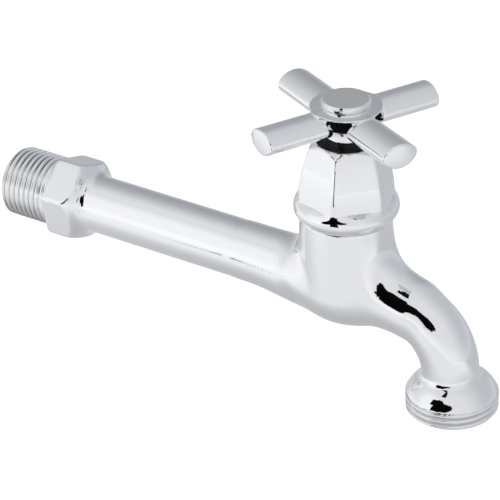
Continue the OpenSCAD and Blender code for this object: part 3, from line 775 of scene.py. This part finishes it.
def tent_material(s):
    """Cloth lit from outside: brighter in front and at its foot, brightest at a panel, darker behind."""
    material, w = bare_material("Tent cloth")
    way = w.vector("NORMALIZE", w.place())

    def facing(middle):
        return w.vector("DOT_PRODUCT", way, towards(*middle))

    level = w.ramp(facing(FRONT), -0.75, 0.35, s.back, s.front)
    level = w.add(level, w.ramp(facing(PANEL), 0.8, 1.0, top=s.key))
    level = w.sub(level, w.ramp(facing(SHADED), 0.5, 1.0, top=s.shade))
    level = w.sub(level, w.ramp(facing(TOP), 0.8, 1.0, top=s.crown))
    foot = w.ramp(facing(FOOT), -0.5, 0.8, s.foot_right, s.foot_left, "LINEAR")
    level = w.add(level, w.ramp(facing(TOP), 0.3, -0.1, top=foot))
    tint = w.blend(w.ramp(facing(FRONT), -0.8, 0.3, kind="LINEAR"), (*s.cool, 1), (*s.tint, 1))
    light = w.node("ShaderNodeEmission", {"Color": tint, "Strength": level})
    w.node("ShaderNodeOutputMaterial", {"Surface": light.outputs[0]})
    return material


# Light of the floor: as the camera sees it; painted light in the plate at least, in front of the faucet and left
# of it
FLOOR_SEEN, FLOOR_LEAST, FLOOR_FRONT, FLOOR_LEFT = 0.6, 0.06, 0.27, 0.07
# Distances in metres over which that painted light grows: from the faucet, where it leaves a painted shadow, to
# the front, to the left and back from afar
FLOOR_NEAR, FLOOR_TO_FRONT, FLOOR_TO_LEFT, FLOOR_AFAR = (0.02, 0.22), (0.17, 0.02), (0.1, -0.15), (0.75, 0.45)


def floor_material():
    """White sheet that the camera sees as white, with the faucet's soft shadow; in reflections it glows with
    painted light, with a painted shadow near the faucet.
    """
    material, w = bare_material("White sheet")
    path = w.node("ShaderNodeLightPath").outputs
    place = w.place()
    away = w.vector("LENGTH", w.vector("MULTIPLY_ADD", place, (0.5, 1, 0), (-0.035, 0, 0)))
    across = w.node("ShaderNodeSeparateXYZ", {0: place}).outputs
    lit = w.add(FLOOR_LEAST, w.ramp(across["Y"], *FLOOR_TO_FRONT, top=FLOOR_FRONT))
    lit = w.mul(w.ramp(away, *FLOOR_NEAR), lit)
    left = w.mul(w.ramp(away, *FLOOR_AFAR), w.ramp(across["X"], *FLOOR_TO_LEFT, top=FLOOR_LEFT))
    # glow seen only in reflections: painted shadow near the faucet, painted light in front and to the left
    mirrored = w.mul(path["Is Glossy Ray"], w.add(lit, left))
    seen = w.math("MAXIMUM", path["Is Camera Ray"], path["Is Transmission Ray"])
    seen = w.add(w.mul(seen, FLOOR_SEEN), mirrored)
    cloth = w.node("ShaderNodeBsdfDiffuse", {"Color": (0.82, 0.82, 0.82, 1)})
    glow = w.node("ShaderNodeEmission", {"Color": (1, 1, 1, 1), "Strength": seen})
    both = w.node("ShaderNodeAddShader", {0: cloth.outputs[0], 1: glow.outputs[0]})
    w.node("ShaderNodeOutputMaterial", {"Surface": both.outputs[0]})
    return material


def chrome_plate():
    return finish("Polished chrome plate", bpy.context.scene.faucet_finish.chrome, 1.0, 0.045, 0.015, 0.03,
                  bump=0.05, bump_depth=0.0002)


# Painted shade in a thread's grooves: its colour at the side, and underneath and along its crown
GROOVE_SIDE_SHADE, GROOVE_DEEP_SHADE = (0.6, 0.6, 0.59, 1), (0.06, 0.06, 0.058, 1)
# Heights in metres where the painted shade underneath and along the crown begins, part of the depth that is
# groove, and painted shade on the crests underneath
UNDERSIDE, CROWN, GROOVE_PART, CREST_SHADE_BELOW = (-0.001, -0.0065), (0.0074, 0.0086), 0.4, 0.55


def thread_plate(name, across, middle, crest, depth):
    """The chrome of a thread with painted shade in its grooves, darkest underneath and along its crown, and on its
    crests underneath; across and middle set the thread's axis.
    """
    material = finish(name, bpy.context.scene.faucet_finish.chrome, 1.0, 0.06, 0.02, 0.03)
    tree = material.node_tree
    colour_in = tree.nodes["Principled BSDF"].inputs["Base Color"]
    w = Wiring(tree)
    arm = w.vector("MULTIPLY_ADD", w.place(), across, middle)
    ridge = w.ramp(w.vector("LENGTH", arm), (crest - depth) * MM, (crest - GROOVE_PART * depth) * MM)
    height = w.node("ShaderNodeSeparateXYZ", {0: arm}).outputs["Z"]
    under, crown = w.ramp(height, *UNDERSIDE, kind="LINEAR"), w.ramp(height, *CROWN, kind="LINEAR")
    # painted shade: grooves grey at the side, near-black underneath and along the crown
    painted_groove_shade = w.blend(w.math("MAXIMUM", under, crown), GROOVE_SIDE_SHADE, GROOVE_DEEP_SHADE)
    # painted shade on the crests underneath, which are drawn towards the groove colour
    ridge = w.math("MAXIMUM", w.sub(ridge, w.mul(under, CREST_SHADE_BELOW)), 0.0)
    tree.links.new(w.blend(ridge, painted_groove_shade, colour_in.links[0].from_socket), colour_in)
    return material


def stand_for(piece, body, slot, *nodes):
    """Gives a piece its body, and takes away the nodes that it replaces; slot is not used."""
    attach(piece, body)
    if nodes:
        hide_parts(*nodes)


# Pieces

# Space round the casting that its grid takes in, in millimetres: margin, half width, end and floor
NET_MARGIN, NET_SIDE, NET_END, NET_FLOOR = 0.8, 13.9, 14.2, -26.0
HANDLE_MARGIN = 0.7


class FAUCET_OT_casting(bpy.types.Operator):
    """Builds the cast body: boss, tube, valve chamber, spout and flange as one smooth skin"""
    bl_idname = "faucet.casting"
    bl_label = "Cast body"

    def execute(self, context):
        c = in_mm("casting")
        field = casting_field(c)
        low = (-NET_MARGIN, -NET_SIDE, NET_FLOOR)
        high = (c.valve_x + c.spout_reach + NET_END, NET_SIDE, c.neck_top + NET_MARGIN)
        piece = add_skin("casting_skin", field, low, high, c.grain, 0.08)
        stand_for(piece, "tap_body", "chrome", "body_casting")
        return {"FINISHED"}


class FAUCET_OT_threads(bpy.types.Operator):
    """Builds the helical inlet and outlet threads with their mouths"""
    bl_idname = "faucet.threads"
    bl_label = "Pipe threads"

    def execute(self, context):
        t = in_mm("threads")
        c = in_mm("casting")
        outlet_x = c.valve_x + c.spout_reach
        sunk = 0.02

        def build(name, plate, start, turn, rows, lengths, lip, rounds):
            """One thread with its lip, at its start and turned about Y from the X axis."""
            names = ("Length", "Crest radius", "Lead-in", "Run-out", "Pitch", "Depth")
            values = {key: value * MM for key, value in zip(names, (*lengths, t.pitch, t.depth))}
            values.update(Rows=rows, Columns=t.columns)
            points, faces = thread_mesh(values, plate)
            place = Matrix.Translation(start)
            points = points @ np.array(Matrix.Rotation(turn, 3, "Y")).T + np.array(place.translation)
            lip = turned(smooth_line(lip, rounds), 96, place @ Matrix.Rotation(turn + math.pi / 2, 4, "Y"))
            piece = add_object(name, *merge((points, faces), lip), plate)
            piece.data.flip_normals()  # grid and lip are both laid with their faces inwards
            stand_for(piece, "tap_body", "chrome")

        r, bore = t.inlet_r, c.bore_r
        build("inlet_thread", thread_plate("Inlet thread plate", (0, 1, 1), (0, 0, 0), r, t.depth),
              (-t.inlet_len, 0, 0), 0, 150, (t.inlet_len + 0.6, r, 1.3, t.inlet_runout),
              [(r - 1.35, sunk), (r - 1.9, 0), (bore + 0.5, 0), (bore - sunk, 0.6),
               (bore - sunk, t.inlet_len + 1)], [0.3, 0.3, 0.3])
        r, bore = t.outlet_r, c.outlet_bore_r
        build("outlet_thread", thread_plate("Outlet thread plate", (1, 1, 0), (-outlet_x * MM, 0, 0), r, t.depth),
              (outlet_x, 0, -c.flange_z - t.outlet_len), -math.pi / 2, 60, (t.outlet_len, r, 0.9, 0.3),
              [(r - 0.95, sunk), (r - 1.4, 0), (t.mouth_r + 0.3, 0), (t.mouth_r, 0.4),
               (bore - sunk, t.outlet_len - 0.2), (bore - sunk, t.outlet_len + 6)], [0.25, 0.3, 0.2, 0.6])
        return {"FINISHED"}


# Rounds of the bonnet in millimetres: bell's corners, bead to bell, bell to chamfer; fall of the bead's blend
CORNER_ROUND, BEAD_FILLET, SHOULDER_ROUND, BEAD_FALL = 0.5, 1.2, 0.35, 2
# Heights above the bonnet's foot between which its rows lie, and how many rows each stretch has
BELL_LOW, BELL_HIGH, BELL_ROWS = 9.5, 18.5, (28, 22, 20, 26)


class FAUCET_OT_bonnet(bpy.types.Operator):
    """Builds the bonnet: round bead, six-sided bell with bowed flats, chamfered top and bore"""
    bl_idname = "faucet.bonnet"
    bl_label = "Bonnet"

    def execute(self, context):
        b = in_mm("bonnet")
        vx = in_mm("casting").valve_x
        core, middle = b.bead_r - b.bead_round, b.bead_h / 2
        columns = 360
        theta = np.arange(columns) * 2 * math.pi / columns

        def ring(radius):
            return np.full(columns, radius)

        def outer(up):
            """Radius of bead and bell round the axis at a height above the foot."""
            rise = b.bead_round ** 2 - (up - middle) ** 2
            bead = core + math.sqrt(rise) if rise > 0 else core - BEAD_FALL * (up - middle - b.bead_round)
            if up < middle:
                return ring(bead)
            flat = b.bell_flat - b.bell_bow + math.sqrt(b.bell_bow ** 2 - (up + 1) ** 2)
            sides = sum(np.maximum(np.cos(theta - b.turn - math.radians(30 + 60 * k)), 0.01) ** b.corner
                        for k in range(6))
            bell = join(flat * sides ** (-1 / b.corner), ring(b.bell_r), CORNER_ROUND)
            chamfer = b.top_r + (b.top - up) * b.top_slope
            return join(cut(ring(bead), bell, BEAD_FILLET), ring(chamfer), SHOULDER_ROUND)

        stops = (0.0, b.bead_h, BELL_LOW, BELL_HIGH, b.top)
        heights = [0.0] + [h for low, high, count in zip(stops[:-1], stops[1:], BELL_ROWS)
                           for h in np.linspace(low, high, count)[1:]]
        foot, spigot = b.foot, b.spigot_z
        foot_r = float(outer(0.0).mean())
        profile = [(b.nut_r, spigot), (b.spigot_r - 0.4, spigot), (b.spigot_r, spigot + 0.4),
                   (b.spigot_r, foot), (foot_r - 1.2, foot), (foot_r - 0.5, foot)]
        rows = [(ring(r), h) for r, h in profile] + [(outer(h), foot + h) for h in heights]
        rim, floor = b.top + foot, b.top + foot - b.recess_h
        inner = smooth_line([(b.top_r - 0.1, rim), (b.recess_r, rim), (b.recess_r, floor),
                             (b.bore_r, floor), (b.bore_r, b.nut_top + 0.05), (b.nut_r, b.nut_top),
                             (b.nut_r, spigot)], [0.15, 0.0, 0.0, 0.0, 0.0])
        rows += [(ring(r), h) for r, h in inner]
        points = np.concatenate([np.stack([vx + r * np.cos(theta), r * np.sin(theta), ring(h)], axis=1)
                                 for r, h in rows])
        piece = add_object("bell_bonnet", points, ring_faces(len(rows), columns), chrome_plate())
        stand_for(piece, "tap_body", "chrome", "bonnet")
        return {"FINISHED"}


class FAUCET_OT_handle(bpy.types.Operator):
    """Builds the cross handle: hub and four oval arms in one smooth skin"""
    bl_idname = "faucet.handle"
    bl_label = "Cross handle"

    def execute(self, context):
        h = in_mm("handle")
        vx = in_mm("casting").valve_x
        field = handle_field(h, vx)
        low = (vx - h.reach - HANDLE_MARGIN, -h.reach - HANDLE_MARGIN, h.foot - HANDLE_MARGIN)
        high = (vx + h.reach + HANDLE_MARGIN, h.reach + HANDLE_MARGIN, h.foot + h.hub_h + HANDLE_MARGIN)
        piece = add_skin("cross_handle_skin", field, low, high, h.grain, 0.05)
        stand_for(piece, "handle", "chrome", "cross_handle")
        return {"FINISHED"}


class FAUCET_OT_cap(bpy.types.Operator):
    """Builds the index cap with its bevelled rim and collar"""
    bl_idname = "faucet.cap"
    bl_label = "Index cap"

    def execute(self, context):
        h = in_mm("handle")
        vx = in_mm("casting").valve_x
        seat, top = h.foot + h.hub_h, h.foot + h.hub_h + h.cap_t
        r, bevel, lift = h.cap_r, h.cap_bevel, 0.02
        profile = smooth_line([(3.8, seat - 3.55), (4.16, seat - 3.55), (4.16, seat + lift),
                               (r - 0.25, seat + lift), (r, seat + 0.25), (r, top - bevel), (r - bevel, top),
                               (r * 0.5, top), (lift, top)], [0.02, 0.02, 0.1, 0.12, 0.2, 0.2, 0])
        columns = 160
        points, faces = turned(profile, columns, Matrix.Translation((vx, 0, 0)))
        faces.append(tuple(range(len(points) - columns, len(points))))  # closes the pole
        piece = add_object("index_cap_disc", points, faces, chrome_plate())
        piece.data.materials.append(finish("Satin plate", context.scene.faucet_finish.satin, 1.0, 0.3, 0.12, 0.06,
                                           0.006, 0.0004, 0.08))
        for face in piece.data.polygons:
            face.material_index = int(face.center.z > (top - lift) * MM)
        stand_for(piece, "handle", "satin_cap", "index_cap")
        return {"FINISHED"}


INNER = (
    ("Turned brass", "brass", (1.0, 0.22, 0.1, 0.12, 0.008, 0.0006, 0.1),
     ("valve_seat", "jumper", "washer_plate", "washer_nut", "square_bush")),
    ("Seal rubber", "rubber", (0.0, 0.5, 0.2, 0.3, 0.004, 0.0005, 0.2),
     ("packing_ring", "lower_o_ring", "upper_o_ring", "seat_washer", "cap_o_ring")),
    ("Pressed gasket", "gasket", (0.0, 0.45, 0.2, 0.15, 0.004, 0.0004, 0.2), ("bonnet_gasket",)),
    ("Plated steel", "steel", (1.0, 0.28, 0.1, 0.1, 0.006, 0.0006, 0.1), ("handle_screw", "lock_washer")),
)
RUBBER_GLOSS = 0.12


class FAUCET_OT_inner_pieces(bpy.types.Operator):
    """Gives the seals, spindle, valve and fastenings their finishes"""
    bl_idname = "faucet.inner_pieces"
    bl_label = "Inner pieces"

    def execute(self, context):
        finishes = {"spindle": chrome_plate()}
        for name, tint, values, nodes in INNER:
            material = finish(name, getattr(context.scene.faucet_finish, tint), *values)
            finishes.update({node: material for node in nodes})
        rubber = finishes["packing_ring"].node_tree.nodes["Principled BSDF"]
        rubber.inputs["Specular IOR Level"].default_value = RUBBER_GLOSS
        for node, material in finishes.items():
            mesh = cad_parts[node].data
            mesh.materials.clear()
            mesh.materials.append(material)
        return {"FINISHED"}


# Corners of the tent's dark openings, in degrees from the front and above level, and their share of its radius
OPENINGS = (((-21, 7), (-19, 24), (-11, 40), (-10, 49), (4, 48), (9, 42), (18, 40), (30, 37), (34, 31), (31, 24),
             (24, 20), (16, 15.5), (6, 14.5), (0, 10), (-4, 5), (-12, 4)),
            ((-11, 59), (-11, 74), (0, 78), (9, 72), (9, 60)))
OPENING_SHARE = 0.985
# Dark flag near the bonnet: corners in millimetres, place in metres, turn in degrees
FLAG = ((-11, 0, -12), (11, 0, -12), (11, 0, 21), (-11, 0, 21))
FLAG_PLACE, FLAG_TURN = (0.1119, -0.0714, 0.025), 8
# Floor's corners and the corners of the seam that lies on it, in millimetres
FLOOR = ((-1500, -1500), (1700, -1500), (1700, 1500), (-1500, 1500))
SEAM = ((-168, -332), (-155, -332), (-156, -380), (-240, -560), (-256, -556), (-170, -380))
SEAM_LIFT, SEAM_GREY, DARK_GREY = 0.4, 0.36, 0.004


class FAUCET_OT_studio(bpy.types.Operator):
    """Sets up the camera of the photograph, the pale floor and the soft studio light"""
    bl_idname = "faucet.studio"
    bl_label = "Studio"

    def execute(self, context):
        scene = context.scene
        s = scene.faucet_studio
        valve = Vector((scene.faucet_casting.valve_x, 0, 0))

        def axes(azimuth, elevation):
            back = Vector((math.sin(azimuth) * math.cos(elevation), -math.cos(azimuth) * math.cos(elevation),
                           math.sin(elevation)))
            right = Vector((math.cos(azimuth), math.sin(azimuth), 0))
            return right, back.cross(right), back

        camera = bpy.data.cameras.new("Photograph")
        camera.sensor_width = 36
        camera.lens = s.lens
        camera.clip_start, camera.clip_end = 0.01, 20
        view = bpy.data.objects.new("Photograph", camera)
        turn = Matrix(axes(s.azimuth + s.pan, s.elevation + s.tilt)).transposed()
        turn = turn @ Matrix.Rotation(s.roll, 3, "Z")
        stand = valve + axes(s.azimuth, s.elevation)[2] * s.distance
        view.matrix_world = Matrix.Translation(stand) @ turn.to_4x4()
        scene.collection.objects.link(view)
        scene.camera = view
        scene.view_settings.view_transform = "Standard"

        world = bpy.data.worlds.new("White surround")
        world.use_nodes = True
        world.node_tree.nodes["Background"].inputs["Color"].default_value = (1, 1, 1, 1)
        scene.world = world

        tent_r, floor_z = s.tent_r / MM, -s.floor / MM
        arc = [(tent_r * math.sin(e), tent_r * math.cos(e)) for e in np.linspace(0, math.pi, 25)]
        tent = add_stage("light_tent", *turned(arc, 48, Matrix.Identity(4)), tent_material(s))
        tent.location = valve
        dark = plain_material("Dark room", DARK_GREY)
        for outline in OPENINGS:
            opening = add_stage("tent_opening", *patch(outline, tent_r * OPENING_SHARE), dark)
            opening.location = valve
        flag = add_stage("dark_flag", FLAG, [(0, 1, 2, 3)], dark)
        flag.matrix_world = Matrix.Translation(FLAG_PLACE) @ Matrix.Rotation(math.radians(FLAG_TURN), 4, "Z")
        flag.visible_diffuse = flag.visible_shadow = False
        floor = add_stage("floor", [(x, y, floor_z) for x, y in FLOOR], [(0, 1, 2, 3)], floor_material())
        floor.visible_camera = True
        add_stage("floor_seam", [(x, y, floor_z + SEAM_LIFT) for x, y in SEAM], [(0, 5, 2, 1), (5, 4, 3, 2)],
                  plain_material("Seam", SEAM_GREY))
        return {"FINISHED"}


class FAUCET_PT_panel(bpy.types.Panel):
    """Lists the faucet's pieces and sizes."""
    bl_idname = "FAUCET_PT_panel"
    bl_label = "Wall faucet"
    bl_space_type = "VIEW_3D"
    bl_region_type = "UI"
    bl_category = "Faucet"

    def draw(self, context):
        for operator in OPERATORS:
            self.layout.operator(operator.bl_idname)
        for name in GROUPS:
            box = self.layout.box()
            group = getattr(context.scene, name)
            for key in group.bl_rna.properties.keys():
                if key not in {"rna_type", "name"}:
                    box.prop(group, key)


OPERATORS = (FAUCET_OT_casting, FAUCET_OT_threads, FAUCET_OT_bonnet, FAUCET_OT_handle, FAUCET_OT_cap,
             FAUCET_OT_inner_pieces, FAUCET_OT_studio)
GROUPS = {"faucet_casting": FaucetCasting, "faucet_threads": FaucetThreads, "faucet_bonnet": FaucetBonnet,
          "faucet_handle": FaucetHandle, "faucet_finish": FaucetFinish, "faucet_studio": FaucetStudio}


def register():
    for cls in (*GROUPS.values(), *OPERATORS, FAUCET_PT_panel):
        bpy.utils.register_class(cls)
    for name, group in GROUPS.items():
        setattr(bpy.types.Scene, name, PointerProperty(type=group))


def unregister():
    for name in GROUPS:
        delattr(bpy.types.Scene, name)
    for cls in reversed((*GROUPS.values(), *OPERATORS, FAUCET_PT_panel)):
        bpy.utils.unregister_class(cls)


def main():
    register()
    bpy.ops.faucet.casting()
    bpy.ops.faucet.threads()
    bpy.ops.faucet.bonnet()
    bpy.ops.faucet.handle()
    bpy.ops.faucet.cap()
    bpy.ops.faucet.inner_pieces()
    bpy.ops.faucet.studio()


if __name__ == "__main__":
    main()
